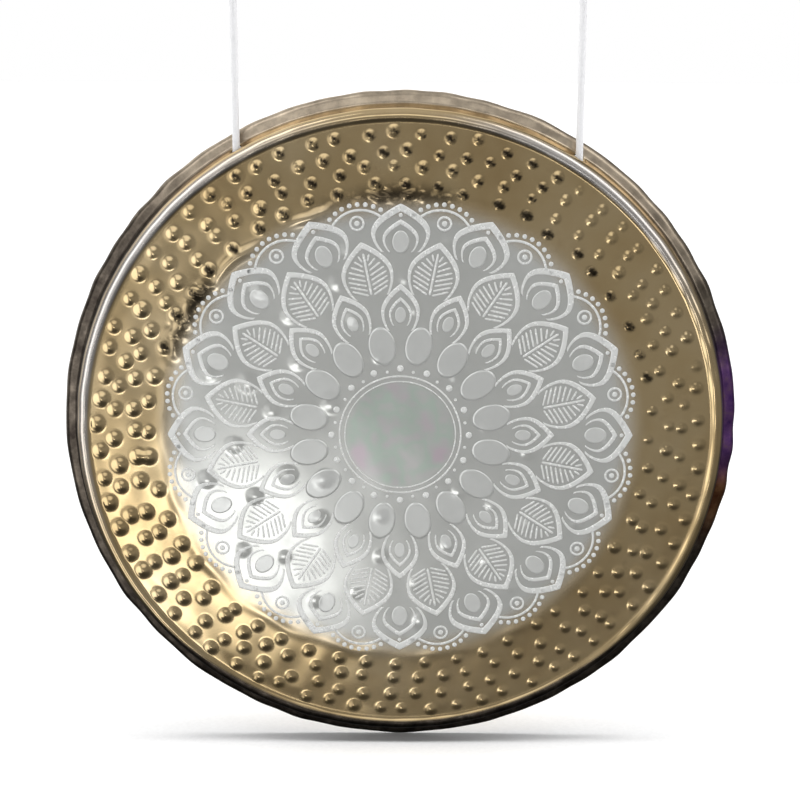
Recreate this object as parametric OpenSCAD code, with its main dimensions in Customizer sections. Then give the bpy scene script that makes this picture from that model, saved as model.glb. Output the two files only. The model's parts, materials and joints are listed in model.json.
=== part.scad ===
// Tam tam gong: one hammered brass disc with a turned-back rim, hung by two cords
// from two S-hooks.
//
// The frame is the hanging object's own: X runs along the bar that the hooks hang on,
// Y points away from the side that is struck, Z is up. The origin is on the bar's axis,
// straight above the middle of the gong. Lengths are millimetres, angles are degrees.

/* [Gong] */
// Diameter over the turned-back rim
rim_d = 508; // [480:1:540]
// Thickness of the brass sheet
sheet_t = 1.6; // [1.2:0.1:1.8]
// Radius of the bend at the shoulder, on the middle of the sheet
shoulder_r = 5; // [4:0.5:6]
// Length of the wall behind the shoulder
wall_len = 8.5; // [8:0.5:10]
// Width of the flat part of the flange
flange_len = 4; // [3:0.5:6]
// How far the middle of the gong hangs below the bar
gong_drop = 440; // [440:1:442]

/* [Rim holes] */
// Diameter of the two cord holes
hole_d = 9.5; // [9:0.5:10]
// How far the holes lie behind the middle of the face's sheet
hole_back = 8.2; // [8:0.1:8.6]

/* [Cords] */
// Diameter of the braided cord
cord_d = 5.5; // [5:0.1:5.5]
// Diameter of the stopper knot inside the rim
rim_knot_d = 11.2; // [11.2:0.2:11.8]
// Diameter of the knot that closes the loop
loop_knot_d = 17; // [16:0.5:19]

/* [Hooks] */
// Diameter of the hook wire
wire_d = 8; // [6:0.5:8]
// Inside radius of the bow that goes over the bar
bar_bow_r = 13; // [12:0.5:13]
// Inside radius of the bow that the cord hangs in
cord_bow_r = 9; // [9:0.5:9.5]
// Distance between the middles of the two bows
bow_gap = 46; // [46:0.5:47]

/* [Hidden] */

brass = [0.72, 0.58, 0.33];
white_cord = [0.94, 0.94, 0.95];
steel = [0.66, 0.67, 0.69];

// Where each hook and its cord hang along the bar
left_x = -119;
right_x = 129;

// The sheet's middle line from the centre of the face to the rim. Each row is a straight
// length, the radius of the bend after it and the angle of that bend. A positive bend
// turns the sheet towards the back.
fillet_bend = [0, 8, -25];
shoulder_bend = [0, shoulder_r, 103];
valley_bend = [wall_len, 3.2, -66];
lip_bend = [flange_len, 4, 63];
rim_bends = [fillet_bend, shoulder_bend, valley_bend, lip_bend];
bend_steps = 8;

// A point of the middle line is [radius, depth, heading].
function along(p, len) = [p[0] + len * cos(p[2]), p[1] + len * sin(p[2]), p[2]];
function turned(p, r, a) = let (s = sign(a), h = p[2] + a)
    [p[0] + s * r * (sin(h) - sin(p[2])), p[1] + s * r * (cos(p[2]) - cos(h)), h];
function bend_points(p, bend) = let (q = along(p, bend[0]))
    [for (i = [0 : bend_steps]) turned(q, bend[1], bend[2] * i / bend_steps)];
function last(list) = list[len(list) - 1];
function midline(p, i = 0) = i == len(rim_bends) ? [] :
    let (bend = bend_points(p, rim_bends[i])) concat(bend, midline(last(bend), i + 1));

// The rim's own radial width, from the flat face to its outermost point, sets the face.
rim_end = last(midline([0, 0, 0]));
rim_r = rim_d / 2;
face_r = rim_r - rim_end[0] - sheet_t / 2 * sin(rim_end[2]);
sheet_line = concat([[0, 0, 0]], midline([face_r, 0, 0]));

// The outline is the middle line moved half the thickness to the front and to the back.
function offset_line(side) = [for (p = sheet_line)
    [p[0] - side * sheet_t / 2 * sin(p[2]), p[1] + side * sheet_t / 2 * cos(p[2])]];
function reversed(list) = [for (i = [len(list) - 1 : -1 : 0]) list[i]];
sheet_outline = concat(offset_line(-1), reversed(offset_line(1)));

// Radius of the wall's middle line at the depth of the holes
wall_start = last(bend_points(last(bend_points([face_r, 0, 0], fillet_bend)), shoulder_bend));
wall_slope = wall_start[2];
hole_r = wall_start[0] + (hole_back - wall_start[1]) / tan(wall_slope);

// The holes in the gong's own frame, with the middle of its face at the origin
function rim_hole(x) = [x, hole_back, sqrt(hole_r * hole_r - x * x)];
left_hole = rim_hole(left_x);
right_hole = rim_hole(right_x);
hole_line = right_hole - left_hole;

// The gong leans until its centre of mass is under the line through the holes.
function strip(i) = let (a = sheet_line[i], b = sheet_line[i + 1],
                         len = norm([b[0] - a[0], b[1] - a[1]]))
    [(a[0] + b[0]) / 2 * len, (a[1] + b[1]) / 2];
strips = [for (i = [0 : len(sheet_line) - 2]) strip(i)];
function total(list, i = 0) = i == len(list) ? 0 : list[i] + total(list, i + 1);
mass_depth = total([for (s = strips) s[0] * s[1]]) / total([for (s = strips) s[0]]);
line_height = norm(cross(left_hole, right_hole)) / norm(hole_line);
hang_tilt = atan((hole_back - mass_depth) / line_height);

// Each cord's middle line as [across, up] from its hook's place on the bar. It starts at
// the tail under the rim knot, goes up through the hole and the loop knot, over the hook
// and back down through the loop knot to the tail beside it.
left_rise = [[0, -252], [0, -245], [0, -238], [0, -229], [0, -218], [0, -206], [0, -194],
             [0, -182], [0, -170], [0, -158], [0, -146]];
right_rise = [[0, -258], [0, -251], [0, -244], [0, -235], [0, -224], [0, -212], [0, -200],
              [0, -188], [0, -176], [0, -164], [0, -150]];
loop_run = [[0, -134], [-0.5, -122], [-1.9, -112], [-2.9, -104], [-3.1, -97], [-3.1, -91.5],
            [-3.9, -86], [-6.1, -80], [-8.9, -74.5], [-11, -69.2], [-11.7, -63.6],
            [-10.2, -57.6], [-5.9, -53.2], [0, -51.6], [5.9, -53.2], [10.2, -57.6],
            [11.7, -63.6], [11, -69.2], [8.9, -74.5], [6.1, -80], [3.9, -86], [3.1, -91.5],
            [3.1, -97], [3.6, -103], [5.8, -109.5], [8.8, -116]];
left_route = concat(left_rise, loop_run);
right_route = concat(right_rise, loop_run);
cord_sides = 10;

// The knots: how far the stopper knots lie under their holes, the height of the loop
// knots, how close the turns of cord lie as a share of the cord's own diameter, and how
// far the solid core reaches past the middle of the end turns as the same share
rim_knot_drop = 10;
loop_knot_z = -95;
wrap_pitch = 0.96;
core_reach = 0.3;

// The hook's straight run and its tips are a hair thinner than its bows and reach into
// them, so that they join as one solid.
inner_wire_d = wire_d - 0.02;
run_lap = 0.3;

// Where the open end of each bow stops, as an angle round the middle of the bow
bar_tip = -12;
cord_tip = -192;

// Length of the bore that drills a cord hole, well past both sides of the sheet
drill_len = 8 * sheet_t;

// One ring of the tube at each point of the route, square to the route there
function heading(route, i) = let (a = route[max(i - 1, 0)],
                                  b = route[min(i + 1, len(route) - 1)])
    (b - a) / norm(b - a);
function ring(route, x, i) = let (h = heading(route, i), p = route[i])
    [for (k = [0 : cord_sides - 1]) let (a = 360 * k / cord_sides, s = cord_d / 2 * cos(a))
        [x + p[0] + s * h[1], cord_d / 2 * sin(a), p[1] - s * h[0]]];
function side_faces(i) = [for (k = [0 : cord_sides - 1])
    let (next = (k + 1) % cord_sides, low = i * cord_sides, high = low + cord_sides)
        [low + k, high + k, high + next, low + next]];

module cord(route, x) {
    rings = len(route);
    points = [for (i = [0 : rings - 1]) each ring(route, x, i)];
    start_cap = [for (k = [0 : cord_sides - 1]) k];
    end_cap = [for (k = [cord_sides - 1 : -1 : 0]) (rings - 1) * cord_sides + k];
    sides = [for (i = [0 : rings - 2]) each side_faces(i)];
    polyhedron(points, concat([start_cap], sides, [end_cap]));
}

// A knot's outer shape: turns of the cord side by side around a solid core
module knot(d, turns) {
    pitch = cord_d * wrap_pitch;
    turn_r = (d - cord_d) / 2;
    core_half = (turns - 1) / 2 * pitch + cord_d * core_reach;
    rotate_extrude($fn = 48) {
        for (i = [0 : turns - 1])
            translate([turn_r, (i - (turns - 1) / 2) * pitch])
                circle(d = cord_d, $fn = 24);
        translate([0, -core_half])
            square([turn_r, 2 * core_half]);
    }
}

// A bent stretch of hook wire in the Y-Z plane, from one angle to another
module wire_bow(r, from, to) {
    rotate([90, 0, 90])
        rotate([0, 0, from])
            rotate_extrude(angle = to - from, $fn = 96)
                translate([r, 0])
                    circle(d = wire_d, $fn = 32);
}

module wire_tip(r, angle) {
    translate([0, r * cos(angle), r * sin(angle)])
        sphere(d = inner_wire_d, $fn = 32);
}

// An S-hook: the bow over the bar, a straight run across and the bow for the cord
module s_hook() {
    bar_r = bar_bow_r + wire_d / 2;
    cord_r = cord_bow_r + wire_d / 2;
    cross_angle = asin((bar_r + cord_r) / bow_gap);
    cross_len = sqrt(pow(bow_gap, 2) - pow(bar_r + cord_r, 2));
    wire_bow(bar_r, bar_tip, 180 + cross_angle);
    wire_tip(bar_r, bar_tip);
    translate([0, -bar_r * cos(cross_angle), -bar_r * sin(cross_angle)])
        rotate([180 + cross_angle, 0, 0])
            translate([0, 0, -run_lap])
                cylinder(d = inner_wire_d, h = cross_len + 2 * run_lap, $fn = 32);
    translate([0, 0, -bow_gap]) {
        wire_bow(cord_r, cord_tip, cross_angle);
        wire_tip(cord_r, cord_tip);
    }
}

// The sheet in the gong's own frame, drilled square to its wall for the cords
module drilled_sheet() {
    difference() {
        rotate([-90, 0, 0])
            rotate_extrude($fn = 240)
                polygon(sheet_outline);
        for (hole = [left_hole, right_hole])
            translate(hole)
                rotate([0, atan2(hole[0], hole[2]), 0])
                    rotate([90 - wall_slope, 0, 0])
                        cylinder(d = hole_d, h = drill_len, center = true, $fn = 48);
    }
}

module gong_disc() {
    color(brass)
        translate([left_x, 0, left_hole[2] - gong_drop])
            rotate(a = hang_tilt, v = hole_line)
                translate(-left_hole)
                    drilled_sheet();
}

module left_cord() {
    color(white_cord) cord(left_route, left_x);
}

module right_cord() {
    color(white_cord) cord(right_route, right_x);
}

module left_rim_knot() {
    color(white_cord)
        translate([left_x, 0, left_hole[2] - gong_drop - rim_knot_drop])
            knot(rim_knot_d, 2);
}

module right_rim_knot() {
    color(white_cord)
        translate([right_x, 0, right_hole[2] - gong_drop - rim_knot_drop])
            knot(rim_knot_d, 2);
}

module left_loop_knot() {
    color(white_cord) translate([left_x, 0, loop_knot_z]) knot(loop_knot_d, 3);
}

module right_loop_knot() {
    color(white_cord) translate([right_x, 0, loop_knot_z]) knot(loop_knot_d, 3);
}

module left_hook() {
    color(steel) translate([left_x, 0, 0]) s_hook();
}

module right_hook() {
    color(steel) translate([right_x, 0, 0]) s_hook();
}

gong_disc();
left_cord();
right_cord();
left_rim_knot();
right_rim_knot();
left_loop_knot();
right_loop_knot();
left_hook();
right_hook();
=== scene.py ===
import json
import math
import random

import bpy
import numpy as np
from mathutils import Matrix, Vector


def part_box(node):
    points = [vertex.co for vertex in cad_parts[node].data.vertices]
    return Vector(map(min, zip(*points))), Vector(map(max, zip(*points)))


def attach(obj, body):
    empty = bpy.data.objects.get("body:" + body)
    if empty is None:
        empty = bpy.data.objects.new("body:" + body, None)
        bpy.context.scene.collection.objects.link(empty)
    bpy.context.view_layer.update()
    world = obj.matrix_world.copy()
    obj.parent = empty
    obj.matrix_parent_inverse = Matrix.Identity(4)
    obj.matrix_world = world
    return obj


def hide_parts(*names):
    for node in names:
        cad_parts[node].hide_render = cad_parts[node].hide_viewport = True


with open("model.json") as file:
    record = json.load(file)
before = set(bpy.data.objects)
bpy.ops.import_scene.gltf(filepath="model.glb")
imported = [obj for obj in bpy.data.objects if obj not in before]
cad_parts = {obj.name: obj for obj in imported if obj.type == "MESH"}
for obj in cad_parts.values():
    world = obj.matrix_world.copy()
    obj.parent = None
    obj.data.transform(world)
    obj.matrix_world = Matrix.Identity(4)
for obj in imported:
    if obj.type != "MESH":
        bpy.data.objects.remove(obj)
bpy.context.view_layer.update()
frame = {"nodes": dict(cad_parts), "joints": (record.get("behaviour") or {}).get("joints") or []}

# ---------------------------------------------------------------- sizes, in metres
# The gong's and the cords' sizes repeat part.scad's. Each bend of the sheet is the straight
# before it, its radius, and its angle in degrees.
RIM_R = 0.254
SHEET_T = 0.0016
GONG_DROP = 0.440
HOLE_BACK = 0.0082
HOLE_R = 0.00475
HANG_TILT = math.radians(1.797)
FILLET = (0.0, 0.008, -25)
SHOULDER = (0.0, 0.005, 103)
VALLEY = (0.0085, 0.0032, -66)
LIP = (0.004, 0.004, 63)
CORD_D = 0.0055
LEFT_X, RIGHT_X = -0.119, 0.129
# How far along a hole's axis the sheet is cut, and from a rim knot's top to its cord's exit
HOLE_REACH = 0.004

# The cords' braid: its strands, the length of one turn, how deep the grooves are as a share
# of the radius, and the step along the cord
BRAID_STRANDS = 8
BRAID_PITCH = 0.0125
BRAID_RELIEF = 0.11
CORD_STEP = 0.0006
KNOT_STEP = 0.0007
# The share of a knot's height in which its ends tuck in, and of its radius where they end
KNOT_TUCK = 0.16
KNOT_CORE = 0.35

# The ornament on the face: repeats, and how far its lines stand above and reach below
# the surface
REPEATS = 16
LINE_RISE = 0.00016
LINE_SINK = 0.00006

SEED = 11


# ---------------------------------------------------------------- camera
def make_camera():
    """A camera where the photograph was taken from."""
    data = bpy.data.cameras.new("camera")
    data.sensor_width = 36.0
    data.lens = 76.7
    data.clip_end = 100.0
    camera = bpy.data.objects.new("camera", data)
    bpy.context.scene.collection.objects.link(camera)
    camera.location = (-0.001, -1.239, -0.110)
    camera.rotation_euler = (math.radians(90 - 13.79), math.radians(-0.16), 0)
    bpy.context.scene.camera = camera


make_camera()


# ---------------------------------------------------------------- mesh helpers
def new_object(name, verts, faces):
    """A smooth-shaded mesh object in the scene."""
    mesh = bpy.data.meshes.new(name)
    mesh.from_pydata([tuple(v) for v in verts], [], faces)
    mesh.update()
    mesh.polygons.foreach_set("use_smooth", [True] * len(mesh.polygons))
    piece = bpy.data.objects.new(name, mesh)
    bpy.context.scene.collection.objects.link(piece)
    return piece


def smoothstep(low, high, value):
    """From 0 at the low value to 1 at the high one, level at both ends."""
    t = np.clip((value - low) / (high - low), 0, 1)
    return t * t * (3 - 2 * t)


def smooth_line(points, step, span_points=24):
    """A Catmull-Rom curve through the points, with an even step along it."""
    p = np.array(points, float)
    p = np.vstack([2 * p[0] - p[1], p, 2 * p[-1] - p[-2]])
    t = np.linspace(0, 1, span_points, endpoint=False)[:, None]
    spans = []
    for i in range(1, len(p) - 2):
        a, b, c, d = p[i - 1], p[i], p[i + 1], p[i + 2]
        spans.append(0.5 * (2 * b + (c - a) * t + (2 * a - 5 * b + 4 * c - d) * t ** 2
                            + (3 * b - a - 3 * c + d) * t ** 3))
    line = np.vstack(spans + [p[-2:-1]])
    return even_line(line, step)


def even_line(line, step):
    """The same line with points an even step apart."""
    length = np.concatenate([[0], np.cumsum(np.linalg.norm(np.diff(line, axis=0), axis=1))])
    count = max(2, int(round(length[-1] / step)) + 1)
    at = np.linspace(0, length[-1], count)
    return np.stack([np.interp(at, length, line[:, k]) for k in range(line.shape[1])], 1)


def tube_rings(line):
    """Two cross directions at each point of a line, carried along without twist."""
    tangent = np.gradient(line, axis=0)
    tangent /= np.linalg.norm(tangent, axis=1)[:, None]
    side = np.zeros_like(line)
    first = np.cross(tangent[0], [0.0, 1.0, 0.0])
    if np.linalg.norm(first) < 0.2:
        first = np.cross(tangent[0], [1.0, 0.0, 0.0])
    side[0] = first / np.linalg.norm(first)
    for i in range(1, len(line)):
        s = side[i - 1] - tangent[i] * np.dot(side[i - 1], tangent[i])
        side[i] = s / np.linalg.norm(s)
    return side, np.cross(tangent, side)


def braid_tube(name, line, radius, sides=40):
    """A round braid: strands that cross over and under in two opposite spirals."""
    side, other = tube_rings(line)
    run = np.concatenate([[0], np.cumsum(np.linalg.norm(np.diff(line, axis=0), axis=1))])
    angle = np.linspace(0, 2 * math.pi, sides, endpoint=False)
    a, s = np.meshgrid(angle, run)
    turn = 2 * math.pi * s / BRAID_PITCH
    right = BRAID_STRANDS / 2 * (a + turn)
    left = BRAID_STRANDS / 2 * (a - turn)
    over = 0.5 + 0.5 * np.sin(right / 2) * np.sin(left / 2)
    bulge = np.maximum(np.abs(np.cos(right / 2)) * (0.62 + 0.38 * over),
                       np.abs(np.cos(left / 2)) * (1.0 - 0.38 * over))
    r = radius * (1 - BRAID_RELIEF + BRAID_RELIEF * bulge)
    edge = np.minimum(run, run[-1] - run) / (0.7 * radius)
    r *= np.sqrt(np.clip(1 - (1 - np.clip(edge, 0, 1)) ** 2, 0.02, 1))[:, None]
    points = (line[:, None] + (r * np.cos(a))[..., None] * side[:, None]
              + (r * np.sin(a))[..., None] * other[:, None])
    n = len(line)
    verts = list(points.reshape(-1, 3)) + [line[0], line[-1]]
    faces = []
    for i in range(n - 1):
        for k in range(sides):
            j = (k + 1) % sides
            faces.append((i * sides + k, i * sides + j, (i + 1) * sides + j, (i + 1) * sides + k))
    for k in range(sides):
        j = (k + 1) % sides
        faces.append((k, n * sides, j))
        faces.append(((n - 1) * sides + k, (n - 1) * sides + j, n * sides + 1))
    return new_object(name, verts, faces)


# ---------------------------------------------------------------- cords and knots
# Each cord's own line, as part.scad has it: across and up from its hook's place.
LEFT_RISE = [(0, -252), (0, -245), (0, -238), (0, -229), (0, -218), (0, -206), (0, -194),
             (0, -182), (0, -170), (0, -158), (0, -146)]
RIGHT_RISE = [(0, -258), (0, -251), (0, -244), (0, -235), (0, -224), (0, -212), (0, -200),
              (0, -188), (0, -176), (0, -164), (0, -150)]
LOOP_RUN = [(0, -134), (-0.5, -122), (-1.9, -112), (-2.9, -104), (-3.1, -97), (-3.1, -91.5),
            (-3.9, -86), (-6.1, -80), (-8.9, -74.5), (-11, -69.2), (-11.7, -63.6),
            (-10.2, -57.6), (-5.9, -53.2), (0, -51.6), (5.9, -53.2), (10.2, -57.6),
            (11.7, -63.6), (11, -69.2), (8.9, -74.5), (6.1, -80), (3.9, -86), (3.1, -91.5),
            (3.1, -97), (3.6, -103), (5.8, -109.5), (8.8, -116)]


def cord_line(route, x):
    """A cord's centre line at its own place across, in metres."""
    points = [(x + across / 1000, 0.0, up / 1000) for across, up in route]
    return smooth_line(points, CORD_STEP)


def wrapped_knot(name, x, z, half_height, wrap_r, turns, hand):
    """A barrel knot: the cord's own turns lie side by side round the strands inside."""
    t = np.linspace(-1, 1, 140)
    angle = hand * math.pi * turns * t
    tuck = np.clip((1 - np.abs(t)) / KNOT_TUCK, 0, 1)
    r = wrap_r * (KNOT_CORE + (1 - KNOT_CORE) * np.sin(tuck * math.pi / 2))
    up = half_height * t * (1.0 - 0.12 * (1 - tuck))
    line = np.stack([x + r * np.cos(angle), r * np.sin(angle), z + up], 1)
    return braid_tube(name, even_line(line, KNOT_STEP), CORD_D / 2, sides=32)


def knot_place(node):
    """The middle and the size of a knot's CAD node."""
    low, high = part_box(node)
    middle = (Vector(low) + Vector(high)) / 2
    return middle, Vector(high) - Vector(low)


def make_hanger(side, x, rise, hand):
    """One cord with the knot at each end, each attached to the hanger's body."""
    body = side + "_hanger"
    line = cord_line(rise + LOOP_RUN, x)
    cord = braid_tube(side + "_braid", line, CORD_D / 2)
    knots = []
    for kind, turns in (("rim", 2.0), ("loop", 3.0)):
        node = side + "_" + kind + "_knot"
        middle, size = knot_place(node)
        half = size.z / 2 - CORD_D / 2
        knot = wrapped_knot(node + "_tied", x, middle.z, half, size.x / 2 - CORD_D / 2,
                            turns, hand)
        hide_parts(node)
        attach(knot, body)
        knots.append(knot)
    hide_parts(side + "_cord")
    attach(cord, body)
    return [cord] + knots


cords = make_hanger("left", LEFT_X, LEFT_RISE, 1)
cords += make_hanger("right", RIGHT_X, RIGHT_RISE, -1)


# ---------------------------------------------------------------- the gong's own frame
def gong_joint():
    """A point and the direction of the line that the gong tilts about."""
    joint = next(j for j in frame["joints"] if j["name"] == "gong_tilt")
    return np.array(joint["pos_m"], float), np.array(joint["axis"], float)


HOLE_AT, HOLE_LINE = gong_joint()
HOLE_LINE /= np.linalg.norm(HOLE_LINE)
LEFT_HOLE = np.array([HOLE_AT[0], HOLE_BACK, HOLE_AT[2] + GONG_DROP])


def to_world(points):
    """From the gong's own frame, the middle of its face at the origin, to the row's."""
    p = np.asarray(points, float) - LEFT_HOLE
    c, s = math.cos(HANG_TILT), math.sin(HANG_TILT)
    turned = (p * c + np.cross(HOLE_LINE, p) * s
              + np.outer(p @ HOLE_LINE, HOLE_LINE) * (1 - c))
    return turned + HOLE_AT


def bend_points(start, bend, steps):
    """Points of one straight and the bend after it, as radius, depth and heading."""
    length, radius, angle = bend
    r, y, h = start
    r += length * math.cos(h)
    y += length * math.sin(h)
    points = []
    if length:
        count = max(1, int(length / 0.0009))
        points += [(start[0] + length * math.cos(h) * i / count,
                    start[1] + length * math.sin(h) * i / count, h) for i in range(1, count)]
    sign = 1 if angle > 0 else -1
    for i in range(steps + 1):
        g = h + math.radians(angle) * i / steps
        points.append((r + sign * radius * (math.sin(g) - math.sin(h)),
                       y + sign * radius * (math.cos(h) - math.cos(g)), g))
    return points


def rim_points(face_r):
    """The rim's section outwards from the edge of the flat face."""
    points = [(face_r, 0.0, 0.0)]
    for bend, steps in ((FILLET, 4), (SHOULDER, 12), (VALLEY, 5), (LIP, 7)):
        points += bend_points(points[-1], bend, steps)[(0 if bend[0] else 1):]
    return points


rim_end = rim_points(0.0)[-1]
FACE_R = RIM_R - rim_end[0] - SHEET_T / 2 * math.sin(rim_end[2])
WALL_HEADING = FILLET[2] + SHOULDER[2]

# The sheet's grid: its first row, wide rows in the middle, close rows in the dimpled border
FIRST_ROW, ROW_STEP = 0.0012, 0.0017
HAMMER_R = 0.168
BORDER_ROWS = 50
AROUND = 900
face_rows = np.concatenate([np.arange(FIRST_ROW, HAMMER_R, ROW_STEP),
                            np.linspace(HAMMER_R, FACE_R, BORDER_ROWS, endpoint=False)])
rim_rows = np.array(rim_points(FACE_R))
ROWS = np.vstack([np.stack([face_rows, 0 * face_rows, 0 * face_rows], 1), rim_rows])
ANGLES = np.linspace(0, 2 * math.pi, AROUND, endpoint=False)


# ---------------------------------------------------------------- hammered relief
def waves(count, low, high, rng):
    """Plane waves between two wavelengths: wave number in x and z, phase and share."""
    out = []
    for _ in range(count):
        a = rng.uniform(0, math.pi)
        k = 2 * math.pi / rng.uniform(low, high)
        out.append((k * math.cos(a), k * math.sin(a), rng.uniform(0, 6.28), rng.uniform(0.5, 1)))
    return out


rng = random.Random(SEED)
SLOW = waves(9, 0.075, 0.17, rng)
QUICKER = waves(14, 0.022, 0.045, rng)
SHARP = waves(12, 0.0085, 0.017, random.Random(SEED + 1))

# Rings of round dimples in the border, raised from behind: radius and count
BORDER_RINGS = [(0.2255, 70), (0.2130, 66), (0.2005, 61), (0.1880, 52)]
# Lone dimples under the ornament
FIELD_RINGS = [(0.062, 7), (0.094, 12), (0.126, 15), (0.153, 13)]
# How far the dimples stray from their ring, their radii, and their height as a share of it
BORDER_DIMPLES = (0.0022, (0.0052, 0.0066), (0.17, 0.24))
FIELD_DIMPLES = (0.006, (0.0065, 0.0090), (0.055, 0.085))

# How far each kind of unevenness stands up from the sheet
DOME_RISE = 0.0012
SLOW_RISE = 0.00034
FINE_RISE, BORDER_RISE = 0.000025, 0.00010
CREASE_RISE = 0.00125
CRUMPLE_RISE = 0.00075
RIM_RISE, SHOULDER_RISE = 0.00062, 0.00020
RIM_WAVES = 26


def dimple_ring(radius, count, jitter, sizes, steepness):
    """Dimples round one ring, larger at the left and smaller at the bottom."""
    start = rng.uniform(0, 1)
    ring = []
    for i in range(count):
        a = 2 * math.pi * (i + start + rng.uniform(-0.14, 0.14)) / count
        r = radius + rng.uniform(-jitter, jitter)
        leftward = 0.5 - 0.5 * math.sin(a + 0.45)
        low = smoothstep(0.35, 0.95, -math.cos(a))
        size = rng.uniform(*sizes) * (0.90 + 0.24 * leftward - 0.24 * low)
        deep = 0.72 + 0.28 * leftward - 0.10 * low
        height = size * deep * rng.uniform(*steepness)
        ring.append((r * math.sin(a), r * math.cos(a), size, height))
    return ring


def make_dimples():
    """Every dimple's place across and up, its radius and its height."""
    dimples = []
    for rings, kind in ((BORDER_RINGS, BORDER_DIMPLES), (FIELD_RINGS, FIELD_DIMPLES)):
        for radius, count in rings:
            dimples += dimple_ring(radius, count, *kind)
    return dimples


DIMPLES = make_dimples()


# The painted dark spots of shade: which radii and degrees of the border have them, and how large
# they are, in its inner ring of dimples and in the rings outside that
INNER_RADII = (0.182, 0.192)
INNER_TURN, INNER_SPOT = (-72, 82), 0.0039
OUTER_TURN, OUTER_SPOT = (-38, 34), 0.0029


def make_dark_spots():
    """Two painted dark spots of shade in each dimple at the top, and in the inner ring from left
    to right.
    """
    spots = []
    for cx, cz, _, _ in DIMPLES:
        radius, angle = math.hypot(cx, cz), math.degrees(math.atan2(cx, cz))
        inner = (INNER_RADII[0] < radius < INNER_RADII[1]
                 and INNER_TURN[0] < angle < INNER_TURN[1])
        outer = radius > INNER_RADII[1] and OUTER_TURN[0] < angle < OUTER_TURN[1]
        if inner or outer:
            spot = (INNER_SPOT if inner else OUTER_SPOT) * rng.uniform(0.8, 1.2)
            spots.append((cx - 0.0009, cz + 0.0004, spot))
            spots.append((cx + 0.0021, cz - 0.0013, 0.7 * spot))
    return spots


DARK_SPOTS = make_dark_spots()


# The crumpled ridge and the crease beside it: radius, width, middle and reach round the face
RIDGE_R, RIDGE_WIDE, RIDGE_AT, RIDGE_REACH = 0.1815, 0.0065, -0.50, 0.90
CREASE_R, CREASE_WIDE, CREASE_AT, CREASE_REACH = 0.1795, 0.0040, -0.62, 0.55


def ridge(r, around):
    """Where the sheet is crumpled, between the border and the silvered middle."""
    along = np.exp(-((r - RIDGE_R) / RIDGE_WIDE) ** 2)
    along *= np.exp(-((around - RIDGE_AT) / RIDGE_REACH) ** 4)
    return along * smoothstep(-0.1, 0.7, np.sin(6 * around + 1.9) + 0.5 * np.sin(11 * around))


def wave_sum(x, z, table):
    """The waves of a table added up, with an even strength for any number of them."""
    total = np.zeros_like(x)
    for kx, kz, phase, share in table:
        total += share * np.sin(kx * x + kz * z + phase)
    return total / math.sqrt(len(table))


def face_relief(x, z):
    """How far the face stands towards the viewer, at points of its plane."""
    r = np.hypot(x, z)
    inside = 1 - smoothstep(0.221, FACE_R, r)
    rise = DOME_RISE * (1 - (r / FACE_R) ** 2)
    around = np.arctan2(x, z)
    rough = smoothstep(0.150, 0.185, r)
    rise += inside * (SLOW_RISE * wave_sum(x, z, SLOW)
                      + (FINE_RISE + BORDER_RISE * rough) * wave_sum(x, z, QUICKER))
    where = CREASE_R + 0.0022 * np.sin(5 * around + 0.6) + 0.0012 * np.sin(23 * around)
    crease = np.exp(-((r - where) / CREASE_WIDE) ** 2)
    strong = 0.22 + 0.78 * np.exp(-((around - CREASE_AT) / CREASE_REACH) ** 2)
    rise += CREASE_RISE * crease * strong * (0.7 + 0.3 * np.sin(17 * around + 1.3))
    rise += CRUMPLE_RISE * ridge(r, around) * wave_sum(x, z, SHARP)
    return rise


def relief_grid():
    """The face's relief at every row and angle of the sheet's grid."""
    r = ROWS[:, 0][:, None]
    x = r * np.sin(ANGLES)
    z = r * np.cos(ANGLES)
    flat = (ROWS[:, 2] == 0.0)[:, None]
    rise = np.where(flat, face_relief(x, z), 0.0)
    for cx, cz, size, height in DIMPLES:
        rows = np.nonzero(np.abs(ROWS[:, 0] - math.hypot(cx, cz)) < size)[0]
        rows = rows[ROWS[rows, 2] == 0.0]
        d2 = ((x[rows] - cx) ** 2 + (z[rows] - cz) ** 2) / size ** 2
        rise[rows] += height * np.clip(1 - d2, 0, 1) ** 2
    return rise


def rim_hammering():
    """Uneven hammering of the rim, along the sheet's own normal."""
    steps = np.linalg.norm(np.diff(ROWS[:, :2], axis=0), axis=1)
    run = np.concatenate([[0], np.cumsum(steps)])
    past = run - run[len(face_rows)]
    growth = smoothstep(0.012, 0.031, past)
    shoulder = smoothstep(0.001, 0.006, past) * (1 - smoothstep(0.012, 0.018, past))
    total = np.zeros((len(ROWS), AROUND))
    for _ in range(RIM_WAVES):
        k = rng.randint(14, 60)
        phase, lean, share = rng.uniform(0, 6.28), rng.uniform(-130, 130), rng.uniform(0.3, 1)
        total += share * np.sin(k * ANGLES + phase + lean * past[:, None])
    rise = RIM_RISE * growth + SHOULDER_RISE * shoulder
    return total / math.sqrt(RIM_WAVES) * rise[:, None]


RELIEF = relief_grid()
HAMMER = rim_hammering()


def sheet_side(side):
    """One side of the sheet: -1 for the front, 1 for the back."""
    heading = ROWS[:, 2][:, None]
    normal_r, normal_y = -np.sin(heading), np.cos(heading)
    offset = side * SHEET_T / 2 + HAMMER
    r = ROWS[:, 0][:, None] + offset * normal_r
    y = ROWS[:, 1][:, None] + offset * normal_y - RELIEF
    return np.stack([r * np.sin(ANGLES), y, r * np.cos(ANGLES)], -1)


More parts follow.
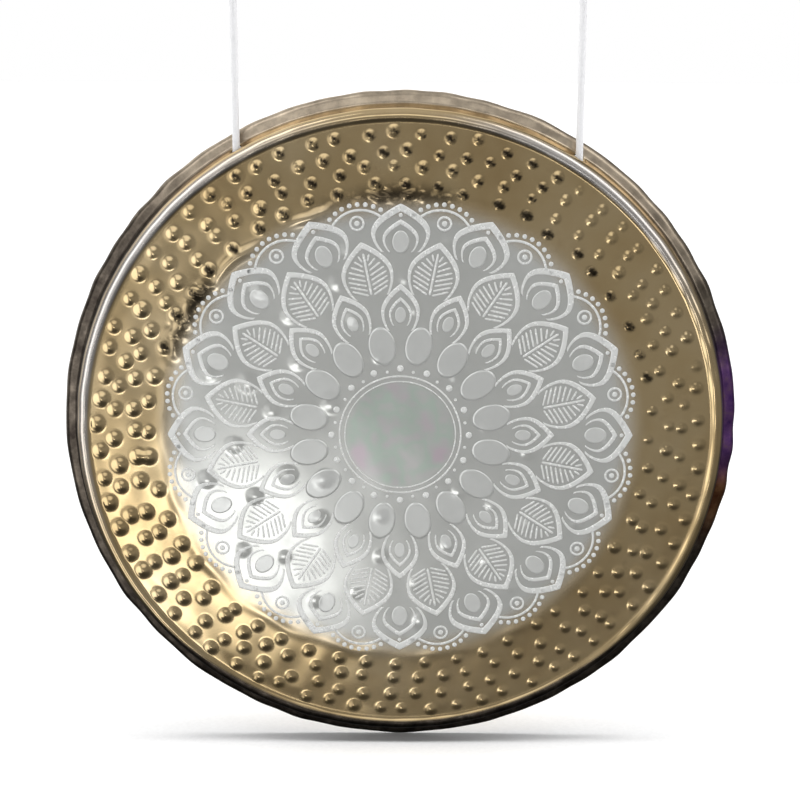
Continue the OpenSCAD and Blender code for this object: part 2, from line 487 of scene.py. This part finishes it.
def hole_axis(x):
    """Middle and axis of a cord hole in the gong's own frame."""
    wall = rim_rows[np.abs(np.degrees(rim_rows[:, 2]) - WALL_HEADING).argmin()]
    radius = wall[0] + (HOLE_BACK - wall[1]) / math.tan(wall[2])
    middle = np.array([x, HOLE_BACK, math.sqrt(radius ** 2 - x ** 2)])
    out = np.array([middle[0] / radius, 0, middle[2] / radius])
    axis = out * math.sin(wall[2]) - np.array([0, 1, 0]) * math.cos(wall[2])
    return middle, axis


def edges_round(quads):
    """The edges round a patch of quads, each the way its quad runs."""
    edges = {}
    for quad in quads:
        for a, b in zip(quad, np.roll(quad, -1)):
            if (b, a) in edges:
                del edges[(b, a)]
            else:
                edges[(a, b)] = True
    return [(int(a), int(b)) for a, b in edges]


def make_round(verts, ring, middle, axis):
    """Moves the points round a cut hole onto the hole's cylinder."""
    for v in ring:
        away = verts[v] - middle
        along = (away @ axis) * axis
        radial = away - along
        verts[v] = middle + along + radial / np.linalg.norm(radial) * HOLE_R


def make_sheet():
    """The whole sheet, front and back, with its two cord holes and the masks of its finishes,
    painted highlight and painted shade.
    """
    front, back = sheet_side(-1), sheet_side(1)
    rows = len(ROWS)
    grid = rows * AROUND
    verts = np.vstack([front.reshape(-1, 3), back.reshape(-1, 3)])
    i, k = np.meshgrid(np.arange(rows - 1), np.arange(AROUND), indexing="ij")
    j = (k + 1) % AROUND
    quads = np.stack([i * AROUND + k, i * AROUND + j,
                      (i + 1) * AROUND + j, (i + 1) * AROUND + k], -1).reshape(-1, 4)
    middles = verts[quads].mean(1)
    open_quads = np.zeros(len(quads), bool)
    holes = []
    for x in (LEFT_X, RIGHT_X):
        middle, axis = hole_axis(x)
        away = middles - middle
        along = away @ axis
        radial = np.linalg.norm(away - along[:, None] * axis, axis=1)
        cut = (radial < HOLE_R) & (np.abs(along) < HOLE_REACH)
        holes.append((middle, axis, quads[cut]))
        open_quads |= cut
    faces = [tuple(q) for q in quads[~open_quads]]
    faces += [tuple(q[::-1] + grid) for q in quads[~open_quads]]
    for middle, axis, cut in holes:
        edges = edges_round(cut)
        faces += [(a, b, b + grid, a + grid) for a, b in edges]
        ring = sorted({v for edge in edges for v in edge})
        make_round(verts, ring + [v + grid for v in ring], middle, axis)
    last = (rows - 1) * AROUND
    for k in range(AROUND):
        j = (k + 1) % AROUND
        faces.append((last + k, last + j, last + j + grid, last + k + grid))
    centre = len(verts)
    tip = -RELIEF[0].mean()
    verts = np.vstack([verts, [[0, tip - SHEET_T / 2, 0], [0, tip + SHEET_T / 2, 0]]])
    for k in range(AROUND):
        j = (k + 1) % AROUND
        faces.append((centre, j, k))
        faces.append((centre + 1, k + grid, j + grid))
    piece = new_object("hammered_sheet", to_world(verts), faces)
    for name, mask in surface_masks(verts).items():
        layer = piece.data.attributes.new(name, "FLOAT", "POINT")
        layer.data.foreach_set("value", mask.astype(np.float32))
    return piece


def dark_spot_mask(x, z, r, around):
    """Painted shade: dark spots in the dimples at the top of the border, and along the crumpled
    ridge.
    """
    mask = ridge(r, around)
    for cx, cz, size in DARK_SPOTS:
        near = np.abs(r - math.hypot(cx, cz)) < size
        d2 = ((x[near] - cx) ** 2 + (z[near] - cz) ** 2) / size ** 2
        mask[near] = np.maximum(mask[near], np.clip(1.6 * (1 - d2), 0, 1))
    return mask


# Where each finish, painted highlight and painted shade starts and where it is full: radii in
# metres, and angles in degrees clockwise from the top as seen from the front
SILVER_EDGE = (0.160, 0.186)
MIDDLE_EDGE = (0.036, 0.043)
SHOULDER_START, SHOULDER_END = (0.2335, 0.2355), (0.2400, 0.2425)
# Painted highlight: a pale, rougher band on the shoulder at the upper left and upper right
PAINTED_HIGHLIGHT_AT = [(-62, 42), (38, 26)]
# Patina and painted shade: the rim is dark on the right, along the bottom and on the left, pale
# only at the top
RIGHT_PATINA_AND_SHADE, LEFT_PATINA_AND_SHADE = (40, 75), (22, 58)
HEAT_AT, HEAT_REACH, HEAT_EDGE = 92, 17, (0.2410, 0.2430)
BROWN_FROM = (94, 101)
# The unpolished rim's radius, its soft edge, and how much further in it starts where it has
# patina and painted shade, and along the bottom, where the dark rim is painted shade over the
# shoulder
RIM_FROM, RIM_SOFT = 0.2435, 0.0026
PATINA_AND_SHADE_IN, BOTTOM_SHADE_IN = 0.0032, 0.0065
# Painted shade: the dark rim reaches in over the shoulder along the bottom
BOTTOM_SHADE = (118, 150)


def surface_masks(verts):
    """How much of each finish, painted highlight and painted shade every point of the sheet has.
    """
    r = np.hypot(verts[:, 0], verts[:, 2])
    around = np.arctan2(verts[:, 0], verts[:, 2])
    degrees = np.degrees(around)
    grid = len(ROWS) * AROUND
    front = np.zeros(len(verts))
    front[:grid] = 1
    front[2 * grid] = 1
    tint = np.exp(-((degrees - HEAT_AT) / HEAT_REACH) ** 6) * smoothstep(*HEAT_EDGE, r)
    # Patina and painted shade: 1 everywhere but the top of the rim
    patina_and_shade = smoothstep(*RIGHT_PATINA_AND_SHADE, degrees) + smoothstep(*LEFT_PATINA_AND_SHADE, -degrees)
    bottom_shade = smoothstep(*BOTTOM_SHADE, np.abs(degrees))
    rim_from = RIM_FROM - PATINA_AND_SHADE_IN * patina_and_shade - BOTTOM_SHADE_IN * bottom_shade
    shoulder = smoothstep(*SHOULDER_START, r) * (1 - smoothstep(*SHOULDER_END, r))
    # Painted highlight on the shoulder
    painted_highlight = sum(np.exp(-((degrees - at) / reach) ** 4) for at, reach in PAINTED_HIGHLIGHT_AT)
    return {"silvered": front * (1 - smoothstep(*SILVER_EDGE, r)),
            "unpolished_and_shaded": smoothstep(0, RIM_SOFT, r - rim_from), "heat_tint": tint,
            "patina_and_shade": patina_and_shade, "painted_highlight": shoulder * painted_highlight,
            "painted_dark_spots": front * dark_spot_mask(verts[:, 0], verts[:, 2], r, around),
            "heat_brown": smoothstep(*BROWN_FROM, degrees),
            "middle": front * (1 - smoothstep(*MIDDLE_EDGE, r))}


sheet = make_sheet()
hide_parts("gong_disc")
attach(sheet, "gong")


# ---------------------------------------------------------------- the ornament
def relief_at(x, z):
    """The sheet's front surface at points of the plane, read off its own grid."""
    r = np.hypot(x, z)
    row = np.interp(r, face_rows, np.arange(len(face_rows)))
    low = np.clip(np.floor(row).astype(int), 0, len(face_rows) - 2)
    out = row - low
    turn = (np.arctan2(x, z) % (2 * math.pi)) / (2 * math.pi) * AROUND
    k = np.floor(turn).astype(int) % AROUND
    j = (k + 1) % AROUND
    past = turn - np.floor(turn)
    near = RELIEF[low, k] * (1 - past) + RELIEF[low, j] * past
    far = RELIEF[low + 1, k] * (1 - past) + RELIEF[low + 1, j] * past
    return near * (1 - out) + far * out


class Linework:
    """Collects thin closed shapes that lie on the face."""

    def __init__(self):
        self.verts = []
        self.faces = []
        self.fills = []
        self.fill = 0.0

    def grid(self, points, closed=False, middle=None):
        """A shape whose top is a grid of points, with a skirt and an underside."""
        rows, cols = points.shape[:2]
        base = len(self.verts)
        flat = points.reshape(-1, 2)
        face = -relief_at(flat[:, 0], flat[:, 1]) - SHEET_T / 2
        for lift in (-LINE_RISE, LINE_SINK):
            self.verts += list(np.stack([flat[:, 0], face + lift, flat[:, 1]], 1))
            self.fills += [self.fill] * len(flat)
        under = rows * cols
        last = rows if closed else rows - 1
        for i in range(last):
            n = (i + 1) % rows
            for k in range(cols - 1):
                a, b = base + i * cols + k, base + i * cols + k + 1
                c, d = base + n * cols + k + 1, base + n * cols + k
                self.faces += [(a, b, c, d), (a + under, d + under, c + under, b + under)]
            for k, flip in ((0, False), (cols - 1, True)):
                if k == 0 and middle is not None:
                    continue
                a, d = base + i * cols + k, base + n * cols + k
                quad = (a, d, d + under, a + under)
                self.faces.append(quad[::-1] if flip else quad)
        if middle is not None:
            self.cap(middle, base, rows, cols)
        if not closed:
            for i, flip in ((0, True), (rows - 1, False)):
                for k in range(cols - 1):
                    a, b = base + i * cols + k, base + i * cols + k + 1
                    quad = (a, b, b + under, a + under)
                    self.faces.append(quad if not flip else quad[::-1])

    def cap(self, middle, base, rows, cols):
        """Closes the top and the underside of a patch at its middle."""
        face = -relief_at(middle[:1], middle[1:])[0] - SHEET_T / 2
        tip = len(self.verts)
        self.verts += [(middle[0], face - LINE_RISE, middle[1]),
                       (middle[0], face + LINE_SINK, middle[1])]
        self.fills += [self.fill] * 2
        under = rows * cols
        for i in range(rows):
            a, d = base + i * cols, base + (i + 1) % rows * cols
            self.faces += [(tip, a, d), (tip + 1, d + under, a + under)]

    def band(self, outer, inner):
        """The strip between two lines of as many points each."""
        outer, inner = np.array(outer), np.array(inner)
        width = np.linalg.norm(outer - inner, axis=1).max()
        cols = max(2, int(math.ceil(width / 0.0013)) + 1)
        mix = np.linspace(0, 1, cols)[None, :, None]
        self.grid(outer[:, None] * (1 - mix) + inner[:, None] * mix)

    def stroke(self, line, width):
        """A line of even width with rounded ends."""
        line = even_line(np.array(line, float), 0.0009)
        run = np.concatenate([[0], np.cumsum(np.linalg.norm(np.diff(line, axis=0), axis=1))])
        room = np.minimum(run, run[-1] - run) / (width / 2)
        half = width / 2 * np.sqrt(np.clip(1 - (1 - np.clip(room, 0, 1)) ** 2, 0.06, 1))
        along = np.gradient(line, axis=0)
        along /= np.linalg.norm(along, axis=1)[:, None]
        across = np.stack([-along[:, 1], along[:, 0]], 1) * half[:, None]
        self.band(line + across, line - across)

    def patch(self, middle, outline, rings=4, fill=0.0):
        """A filled shape, from its middle out to a closed outline."""
        self.fill = fill
        outline = np.array(outline)
        mix = np.linspace(1 / rings, 1, rings)[None, :, None]
        middle = np.array(middle)
        self.grid(middle * (1 - mix) + outline[:, None] * mix, closed=True, middle=middle)
        self.fill = 0.0

    def make(self, name):
        """The collected shapes as one piece, in the gong's place."""
        piece = new_object(name, to_world(np.array(self.verts)), self.faces)
        layer = piece.data.attributes.new("filled", "FLOAT", "POINT")
        layer.data.foreach_set("value", np.array(self.fills, np.float32))
        return piece


def sector(turn):
    """From along and across a petal's own axis, in mm, to the plane of the face."""
    angle = 2 * math.pi * turn / REPEATS
    up = np.array([math.sin(angle), math.cos(angle)])
    right = np.array([math.cos(angle), -math.sin(angle)])

    def place(points):
        p = np.atleast_2d(np.array(points, float)) / 1000
        return p[:, :1] * up + p[:, 1:] * right
    return place


def both_sides(line):
    """A line and its mirror image in the petal's axis, joined at the tip."""
    return np.vstack([line, (line * [1, -1])[::-1][1:]])


def petal_side(base, tip, wide, fullest=0.42):
    """One side of a plain pointed petal, from its base to its tip on the axis."""
    t = np.linspace(0, 1, 40)
    swell = np.where(t < fullest, np.sin(t / fullest * math.pi / 2) ** 0.8 * 0.35 + 0.65,
                     np.cos((t - fullest) / (1 - fullest) * math.pi / 2) ** 0.9)
    return np.stack([base + (tip - base) * t, wide * swell], 1)


def petal(work, place, base, tip, wide, line_wide):
    """A plain pointed petal drawn as one band of even width."""
    outer = petal_side(base, tip, wide)
    inner = petal_side(base, tip - 1.9 * line_wide, wide - line_wide)
    work.band(place(both_sides(outer)), place(both_sides(inner)))


def disc(work, place, along, across, half, fill=0.0, stretch=1.0):
    """A filled circle, or an oval where it is stretched along its own axis."""
    a = np.linspace(0, 2 * math.pi, 14 if half < 3 else 36, endpoint=False)
    edge = np.stack([along + half * stretch * np.cos(a), across + half * np.sin(a)], 1)
    work.patch(place([(along, across)])[0], place(edge), rings=2 if half < 3 else 7, fill=fill)


def ring(work, place, along, half, line_wide):
    """A thin circle on the petal's axis."""
    a = np.linspace(0, 2 * math.pi, 40)
    edges = [place(np.stack([along + r * np.cos(a), r * np.sin(a)], 1))
             for r in (half, half - line_wide)]
    work.band(*edges)


def arcade(work, place):
    """Between two outer petals: an arc with a row of beads outside it, a ring inside."""
    centre, arc_r, bead_r = 148.5, 24.0, 28.2
    a = np.radians(np.linspace(-50, 50, 44))
    work.stroke(place(np.stack([centre + arc_r * np.cos(a), arc_r * np.sin(a)], 1)), 0.0018)
    for b in np.radians(np.linspace(-54, 54, 10)):
        disc(work, place, centre + bead_r * math.cos(b), bead_r * math.sin(b), 1.75)
    ring(work, place, 163.0, 5.6, 1.6)
    disc(work, place, 163.0, 0, 2.0)


def outer_petals(work, place):
    """A wide petal with a narrow one inside it, an oval and a bead."""
    petal(work, place, 139.0, 174.5, 21.5, 3.0)
    petal(work, place, 139.0, 163.0, 13.2, 1.9)
    disc(work, place, 146.5, 0, 6.2, 0.7, 1.35)
    disc(work, place, 166.2, 0, 1.5)


def leaf_petals(work, place):
    """A pointed petal with plain leaf veins."""
    petal(work, place, 107.0, 149.0, 19.0, 2.5)
    side = petal_side(107.0, 144.2, 16.5)
    work.stroke(place([(109, 0), (140.5, 0)]), 0.0017)
    for i in range(9):
        start = 109.0 + 3.6 * i
        reach = float(np.interp(start + 5.5, side[:, 0], side[:, 1])) - 1.8
        if reach > 2.5:
            for turn in (-1, 1):
                work.stroke(place([(start, 1.9 * turn), (start + 5.0, reach * turn)]), 0.0014)


def middle_petals(work, place):
    """A small petal with a narrower one inside it and an oval."""
    petal(work, place, 80.0, 115.5, 14.2, 2.4)
    petal(work, place, 84.0, 105.5, 8.4, 1.5)
    disc(work, place, 92.0, 0, 4.0, 0.7, 1.5)


def inner_ovals(work, place):
    """One long filled oval of the innermost ring."""
    disc(work, place, 69.5, 0, 10.2, 1.0, 1.45)


def circle(work, radius, width):
    """A thin circle round the middle of the face, in metres."""
    a = np.linspace(0, 2 * math.pi, 361)
    way = np.stack([np.sin(a), np.cos(a)], 1)
    work.band(way * (radius + width / 2), way * (radius - width / 2))


def make_ornament():
    """The two rings of the ornament, each one piece."""
    outer, inner = Linework(), Linework()
    for k in range(REPEATS):
        on, between = sector(k), sector(k + 0.5)
        outer_petals(outer, on)
        arcade(outer, between)
        leaf_petals(inner, between)
        middle_petals(inner, on)
        inner_ovals(inner, between)
        disc(inner, on, 51.5, 0, 2.5)
        disc(inner, between, 49.5, 0, 1.2)
    circle(inner, 0.0455, 0.0013)
    circle(inner, 0.0415, 0.0009)
    return [outer.make("ornament_outer_ring"), inner.make("ornament_inner_rings")]


ornament = make_ornament()
for piece in ornament:
    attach(piece, "gong")


# ---------------------------------------------------------------- materials
class Nodes:
    """Short calls for building a node tree."""

    def __init__(self, tree):
        self.tree = tree

    def add(self, kind, inputs=None, **settings):
        """A node; an input is a number or colour, or another node's output to link."""
        node = self.tree.nodes.new(kind)
        for key, value in settings.items():
            setattr(node, key, value)
        for key, value in (inputs or {}).items():
            if isinstance(value, bpy.types.NodeSocket):
                self.tree.links.new(value, node.inputs[key])
            else:
                node.inputs[key].default_value = value
        return node

    def math(self, operation, a, b=0.0):
        return self.add("ShaderNodeMath", {0: a, 1: b}, operation=operation).outputs[0]

    def noise(self, vector, scale, detail=3.0, roughness=0.5):
        node = self.add("ShaderNodeTexNoise", {"Vector": vector, "Scale": scale,
                                               "Detail": detail, "Roughness": roughness})
        return node.outputs["Fac"]

    def ramp(self, value, stops):
        """Colours between stops, each a place from 0 to 1 and a colour."""
        node = self.add("ShaderNodeValToRGB", {"Fac": value})
        ramp = node.color_ramp
        while len(ramp.elements) < len(stops):
            ramp.elements.new(0.5)
        for element, (at, colour) in zip(ramp.elements, stops):
            element.position = at
            element.color = (*colour, 1)
        return node.outputs["Color"]

    def mix(self, fac, a, b, blend="MIX"):
        """Two colours mixed: the first where the share is 0, the second where it is 1."""
        node = self.add("ShaderNodeMix", data_type="RGBA", blend_type=blend)
        for index, value in ((0, fac), (6, a), (7, b)):
            if isinstance(value, bpy.types.NodeSocket):
                self.tree.links.new(value, node.inputs[index])
            elif index == 0:
                node.inputs[0].default_value = value
            else:
                node.inputs[index].default_value = (*value, 1)
        return node.outputs[2]

    def range(self, value, low, high, to_low, to_high):
        """A value carried over evenly from one range to another, and held at its ends."""
        node = self.add("ShaderNodeMapRange", {"Value": value, "From Min": low, "From Max": high,
                                               "To Min": to_low, "To Max": to_high})
        return node.outputs[0]


def new_material(name):
    """A material with one Principled shader, and the calls to build its nodes."""
    material = bpy.data.materials.new(name)
    material.use_nodes = True
    tree = material.node_tree
    tree.nodes.clear()
    nodes = Nodes(tree)
    output = nodes.add("ShaderNodeOutputMaterial")
    shader = nodes.add("ShaderNodeBsdfPrincipled")
    tree.links.new(shader.outputs[0], output.inputs["Surface"])
    return material, nodes, shader


def give(piece, material):
    """Makes this the piece's only material."""
    piece.data.materials.clear()
    piece.data.materials.append(material)


def mask_of(n, name):
    """How much of one finish a point has, as stored on the mesh."""
    return n.add("ShaderNodeAttribute", attribute_name=name).outputs["Fac"]


def gold_colour(n, cloud, stain):
    """Polished brass, cloudy, with darker stains."""
    gold = n.ramp(cloud, [(0.30, (0.66, 0.47, 0.23)), (0.50, (0.78, 0.59, 0.32)),
                          (0.72, (0.87, 0.69, 0.42))])
    return n.mix(n.range(stain, 0.58, 0.72, 0.0, 0.30), gold, (0.54, 0.38, 0.21))


def silver_colour(n, where, cloud):
    """The silvering, with faint pink and green curls in the middle."""
    pale = n.ramp(cloud, [(0.3, (0.63, 0.64, 0.61)), (0.7, (0.74, 0.75, 0.72))])
    curls = n.noise(where, 46.0, 2.0, 0.5)
    colours = n.ramp(curls, [(0.36, (0.80, 0.55, 0.72)), (0.46, (0.66, 0.66, 0.66)),
                             (0.55, (0.50, 0.74, 0.58)), (0.66, (0.72, 0.70, 0.70))])
    return n.mix(n.math("MULTIPLY", mask_of(n, "middle"), 0.42), pale, colours)


def rim_colour(n, worn):
    """The unpolished rim: pale at the top, and dark elsewhere, partly patina and partly painted
    shade.
    """
    pale_rim = n.ramp(worn, [(0.30, (0.40, 0.33, 0.25)), (0.50, (0.60, 0.50, 0.38)),
                             (0.70, (0.78, 0.66, 0.50))])
    # Partly patina, partly painted shade: the dark rim everywhere but the top
    dark_rim = n.ramp(worn, [(0.34, (0.045, 0.036, 0.030)), (0.52, (0.11, 0.092, 0.074)),
                             (0.70, (0.24, 0.20, 0.16))])
    return n.mix(mask_of(n, "patina_and_shade"), pale_rim, dark_rim)


def heat_colour(n, worn):
    """The tint that heat leaves: purple, and brown further down."""
    purple = n.ramp(worn, [(0.34, (0.13, 0.05, 0.24)), (0.52, (0.26, 0.12, 0.34)),
                           (0.68, (0.34, 0.20, 0.24))])
    brown = n.ramp(worn, [(0.34, (0.16, 0.05, 0.02)), (0.66, (0.40, 0.20, 0.09))])
    return n.mix(mask_of(n, "heat_brown"), purple, brown)


def brass_material():
    """Polished brass, silvered in the middle, with an unpolished rim, a painted highlight on the
    shoulder and painted shade on the rim and in the dimples.
    """
    material, n, shader = new_material("hammered_brass")
    link = n.tree.links.new
    where = n.add("ShaderNodeTexCoord").outputs["Object"]
    cloud = n.noise(where, 9.0, 4.0, 0.6)
    stain = n.noise(where, 38.0, 5.0, 0.65)
    worn = n.noise(where, 70.0, 5.0, 0.7)
    spot_noise = n.noise(where, 130.0, 3.0, 0.6)
    fine = n.noise(where, 900.0, 3.0, 0.6)
    face = n.mix(mask_of(n, "silvered"), gold_colour(n, cloud, stain),
                 silver_colour(n, where, cloud))
    # Painted highlight: the shoulder is made pale where it would mirror a bright light
    face = n.mix(n.math("MULTIPLY", mask_of(n, "painted_highlight"), 0.85), face, (0.86, 0.84, 0.84))
    # Painted shade: near-black spots in the top dimples and along the crumpled ridge
    spots = n.math("MULTIPLY", mask_of(n, "painted_dark_spots"), n.range(spot_noise, 0.34, 0.48, 0.0, 0.95))
    face = n.mix(spots, face, (0.030, 0.024, 0.018))
    metal = n.mix(mask_of(n, "unpolished_and_shaded"), face, rim_colour(n, worn))
    link(n.mix(mask_of(n, "heat_tint"), metal, heat_colour(n, worn)), shader.inputs["Base Color"])
    link(n.range(mask_of(n, "silvered"), 0.0, 1.0, 1.0, 0.70), shader.inputs["Metallic"])
    rough = n.math("ADD", n.range(stain, 0.35, 0.75, 0.11, 0.18),
                   n.math("MULTIPLY", mask_of(n, "unpolished_and_shaded"), 0.17))
    rough = n.math("ADD", rough, n.math("MULTIPLY", mask_of(n, "painted_highlight"), 0.12))
    link(rough, shader.inputs["Roughness"])
    bump = n.add("ShaderNodeBump", {"Height": fine, "Distance": 0.00001, "Strength": 0.15})
    link(bump.outputs[0], shader.inputs["Normal"])
    return material


def ornament_material():
    """Frosted silver-white, between a paint and a metal."""
    material, n, shader = new_material("ornament_white")
    link = n.tree.links.new
    where = n.add("ShaderNodeTexCoord").outputs["Object"]
    wear = n.noise(where, 260.0, 4.0, 0.6)
    cloud = n.noise(where, 24.0, 3.0, 0.5)
    broad = mask_of(n, "filled")
    colour = n.ramp(wear, [(0.30, (0.74, 0.75, 0.73)), (0.60, (0.81, 0.815, 0.80))])
    colour = n.mix(n.range(cloud, 0.3, 0.7, 0.0, 0.35), colour, (0.70, 0.71, 0.69))
    link(n.mix(n.math("MULTIPLY", broad, 0.8), colour, (0.65, 0.66, 0.64)),
         shader.inputs["Base Color"])
    link(n.range(broad, 0.0, 1.0, 0.36, 0.56), shader.inputs["Metallic"])
    rough = n.math("SUBTRACT", n.range(wear, 0.3, 0.7, 0.22, 0.30),
                   n.math("MULTIPLY", broad, 0.09))
    link(rough, shader.inputs["Roughness"])
    bump = n.add("ShaderNodeBump", {"Height": wear, "Distance": 0.00002, "Strength": 0.3})
    link(bump.outputs[0], shader.inputs["Normal"])
    return material


def cord_material():
    """White braided fibre, a little soiled."""
    material, n, shader = new_material("white_cord")
    link = n.tree.links.new
    where = n.add("ShaderNodeTexCoord").outputs["Object"]
    fibre = n.noise(where, 2600.0, 4.0, 0.7)
    soil = n.noise(where, 60.0, 3.0, 0.5)
    colour = n.ramp(fibre, [(0.25, (0.65, 0.65, 0.67)), (0.65, (0.82, 0.82, 0.83))])
    link(n.mix(n.range(soil, 0.4, 0.8, 0.0, 0.10), colour, (0.62, 0.61, 0.59)),
         shader.inputs["Base Color"])
    shader.inputs["Roughness"].default_value = 0.62
    shader.inputs["Sheen Weight"].default_value = 0.3
    shader.inputs["Sheen Roughness"].default_value = 0.5
    bump = n.add("ShaderNodeBump", {"Height": fibre, "Distance": 0.00008, "Strength": 0.5})
    link(bump.outputs[0], shader.inputs["Normal"])
    return material


def steel_material():
    """Dull steel wire."""
    material, n, shader = new_material("hook_steel")
    link = n.tree.links.new
    where = n.add("ShaderNodeTexCoord").outputs["Object"]
    grain = n.noise(where, 420.0, 4.0, 0.6)
    cloud = n.noise(where, 45.0, 3.0, 0.5)
    link(n.ramp(cloud, [(0.3, (0.50, 0.51, 0.53)), (0.7, (0.66, 0.67, 0.69))]),
         shader.inputs["Base Color"])
    shader.inputs["Metallic"].default_value = 1.0
    link(n.range(grain, 0.3, 0.7, 0.22, 0.38), shader.inputs["Roughness"])
    bump = n.add("ShaderNodeBump", {"Height": grain, "Distance": 0.00005, "Strength": 0.4})
    link(bump.outputs[0], shader.inputs["Normal"])
    return material


def floor_material():
    """Plain pale card."""
    material, n, shader = new_material("studio_floor")
    where = n.add("ShaderNodeTexCoord").outputs["Object"]
    grain = n.noise(where, 300.0, 2.0, 0.5)
    n.tree.links.new(n.ramp(grain, [(0.3, (0.86, 0.86, 0.86)), (0.7, (0.90, 0.90, 0.90))]),
                     shader.inputs["Base Color"])
    shader.inputs["Roughness"].default_value = 0.9
    shader.inputs["Specular IOR Level"].default_value = 0.0
    return material


give(sheet, brass_material())
line_paint = ornament_material()
for piece in ornament:
    give(piece, line_paint)
cord_fibre = cord_material()
for piece in cords:
    give(piece, cord_fibre)
hook_metal = steel_material()
for node in ("left_hook", "right_hook"):
    for slot in frame["nodes"][node].material_slots:
        slot.material = hook_metal


# ---------------------------------------------------------------- floor and light
FLOOR_HALF = 9.0
FLOOR_LINES = 7
FLOOR_GAP = 0.0002


def make_floor():
    """The floor, just under the gong's lowest point."""
    low = min(v.co.z for v in sheet.data.vertices) - FLOOR_GAP
    steps = np.linspace(-FLOOR_HALF, FLOOR_HALF, FLOOR_LINES)
    verts = [(x, y, low) for y in steps for x in steps]
    corners = (0, 1, FLOOR_LINES + 1, FLOOR_LINES)
    faces = [tuple(i * FLOOR_LINES + k + c for c in corners)
             for i in range(FLOOR_LINES - 1) for k in range(FLOOR_LINES - 1)]
    floor = new_object("studio_floor", verts, faces)
    give(floor, floor_material())
    floor.visible_glossy = False


def step_up(n, value, at, soft):
    """A soft step from 0 to 1 round one value."""
    ends = {"Value": value, "From Min": at - soft, "From Max": at + soft}
    return n.add("ShaderNodeMapRange", ends, interpolation_type="SMOOTHSTEP").outputs[0]


def panel(n, across, up, box, soft, strength):
    """A soft-edged panel of light between two slopes across and two slopes up."""
    left, right, low, high = box
    mask = n.math("MULTIPLY", step_up(n, across, left, soft), step_up(n, up, low, soft))
    for value, at in ((across, right), (up, high)):
        mask = n.math("MULTIPLY", mask, n.math("SUBTRACT", 1.0, step_up(n, value, at, soft)))
    return n.math("MULTIPLY", mask, strength)


# The studio's soft panels that the metal mirrors. Each has its left, right, low and high
# edges, as slopes across and up from straight ahead of the face, its softness and strength.
PANELS = [
    ((-0.40, 0.36, -0.70, -0.035), 0.08, 0.06),
    ((-0.22, -0.045, -0.475, -0.365), 0.04, 2.3),
    ((-0.46, -0.185, -0.46, -0.04), 0.07, 0.38),
    ((-0.35, 0.20, 0.10, 0.42), 0.10, 0.8),
    ((-1.25, -0.50, -1.00, 2.60), 0.12, 1.35),
    ((0.66, 1.40, 0.00, 2.60), 0.14, 1.4),
]


def make_world():
    """A white surround, and what the metal mirrors: a sweep behind and a dim room in front."""
    world = bpy.data.worlds.new("studio")
    bpy.context.scene.world = world
    world.use_nodes = True
    tree = world.node_tree
    tree.nodes.clear()
    n = Nodes(tree)
    link = tree.links.new
    way = n.add("ShaderNodeTexCoord").outputs["Generated"]
    x, y, z = n.add("ShaderNodeSeparateXYZ", {0: way}).outputs
    ahead = n.math("MAXIMUM", n.math("MULTIPLY", y, -1.0), 0.05)
    across, up = n.math("DIVIDE", x, ahead), n.math("DIVIDE", z, ahead)
    height = n.range(z, -1.0, 1.0, 0.0, 1.0)
    room = n.ramp(height, [(0.00, (0.02,) * 3), (0.20, (0.08,) * 3), (0.36, (0.21,) * 3),
                           (0.50, (0.20,) * 3), (0.62, (0.22,) * 3), (0.80, (0.40,) * 3),
                           (1.00, (0.50,) * 3)])
    sweep = n.ramp(height, [(0.00, (0.02,) * 3), (0.28, (0.10,) * 3), (0.40, (0.75,) * 3),
                            (0.50, (1.05,) * 3), (0.80, (1.10,) * 3), (1.00, (0.45,) * 3)])
    glow = 0.0
    for box, soft, strength in PANELS:
        glow = n.math("ADD", glow, panel(n, across, up, box, soft, strength))
    glow = n.math("MULTIPLY", glow, n.math("LESS_THAN", y, -0.05))
    light = n.add("ShaderNodeCombineXYZ", {0: glow, 1: glow, 2: glow}).outputs[0]
    ahead_of_it = n.mix(1.0, n.mix(1.0, room, light, "ADD"), (0.012,) * 3, "LIGHTEN")
    behind = n.mix(n.math("MULTIPLY", step_up(n, x, 0.30, 0.25), 0.85), sweep, (0.05,) * 3)
    mirrored = n.mix(step_up(n, y, 0.02, 0.12), ahead_of_it, behind)
    dome = n.ramp(height, [(0.30, (0.7,) * 3), (0.45, (1.05,) * 3), (0.66, (1.0,) * 3),
                           (0.86, (0.12,) * 3)])
    shades = [n.add("ShaderNodeBackground", {"Color": colour}).outputs[0]
              for colour in (dome, (1, 1, 1, 1), mirrored)]
    rays = n.add("ShaderNodeLightPath").outputs
    seen = n.add("ShaderNodeMixShader", {0: rays["Is Camera Ray"], 1: shades[0], 2: shades[1]})
    full = n.add("ShaderNodeMixShader",
                 {0: rays["Is Glossy Ray"], 1: seen.outputs[0], 2: shades[2]})
    link(full.outputs[0], n.add("ShaderNodeOutputWorld").inputs["Surface"])


# The soft lights on each side: height in degrees, how far back (negative is in front),
# strength; and how wide each one looks, in degrees
SIDE_LIGHTS = [(46, -0.05, 0.74), (63, -0.08, 0.68), (80, -0.05, 0.64)]
LIGHT_ANGLE = 24


def side_light(name, side, height, depth, energy):
    """A soft light from one side, for the cords and for the shadow under the gong."""
    data = bpy.data.lights.new(name, "SUN")
    data.energy = energy
    data.angle = math.radians(LIGHT_ANGLE)
    lamp = bpy.data.objects.new(name, data)
    bpy.context.scene.collection.objects.link(lamp)
    up = math.radians(height)
    from_here = Vector((side * math.cos(up), depth, math.sin(up)))
    lamp.rotation_euler = (-from_here).to_track_quat("-Z", "Y").to_euler()
    lamp.location = from_here * 2
    lamp.visible_glossy = False


make_floor()
make_world()
for height, depth, energy in SIDE_LIGHTS:
    side_light("left_light_%d" % height, -1, height, depth, energy)
    side_light("right_light_%d" % height, 1, height, depth, energy)
bpy.context.scene.view_settings.view_transform = "Standard"
